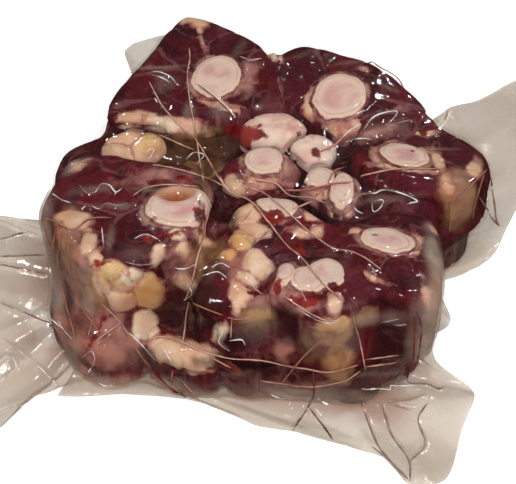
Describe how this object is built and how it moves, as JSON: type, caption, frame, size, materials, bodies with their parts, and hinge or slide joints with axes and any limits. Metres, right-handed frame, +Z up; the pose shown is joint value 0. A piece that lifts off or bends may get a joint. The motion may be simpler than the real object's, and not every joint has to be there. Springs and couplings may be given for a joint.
{
  "type": "vacuum-packed oxtail",
  "caption": "Block of raw sawn oxtail joints stood on end in layers and vacuum-packed in clear film, with loose wings of film round its foot.",
  "frame": {"origin": "under the middle of the outline, wings of film included, at the flat base the block stands on", "axes": "+Z up, +X to the right and +Y to the back as seen from the picture's side; the block's sides lie along X and Y"},
  "size_m": [0.3685, 0.2951, 0.0885],
  "materials": {
    "packed_meat": "dark red meat, cream fat and pink bone under clear glossy film"
  },
  "bodies": {
    "root": {"vacuum_pack": "packed_meat"}
  },
  "joints": []
}
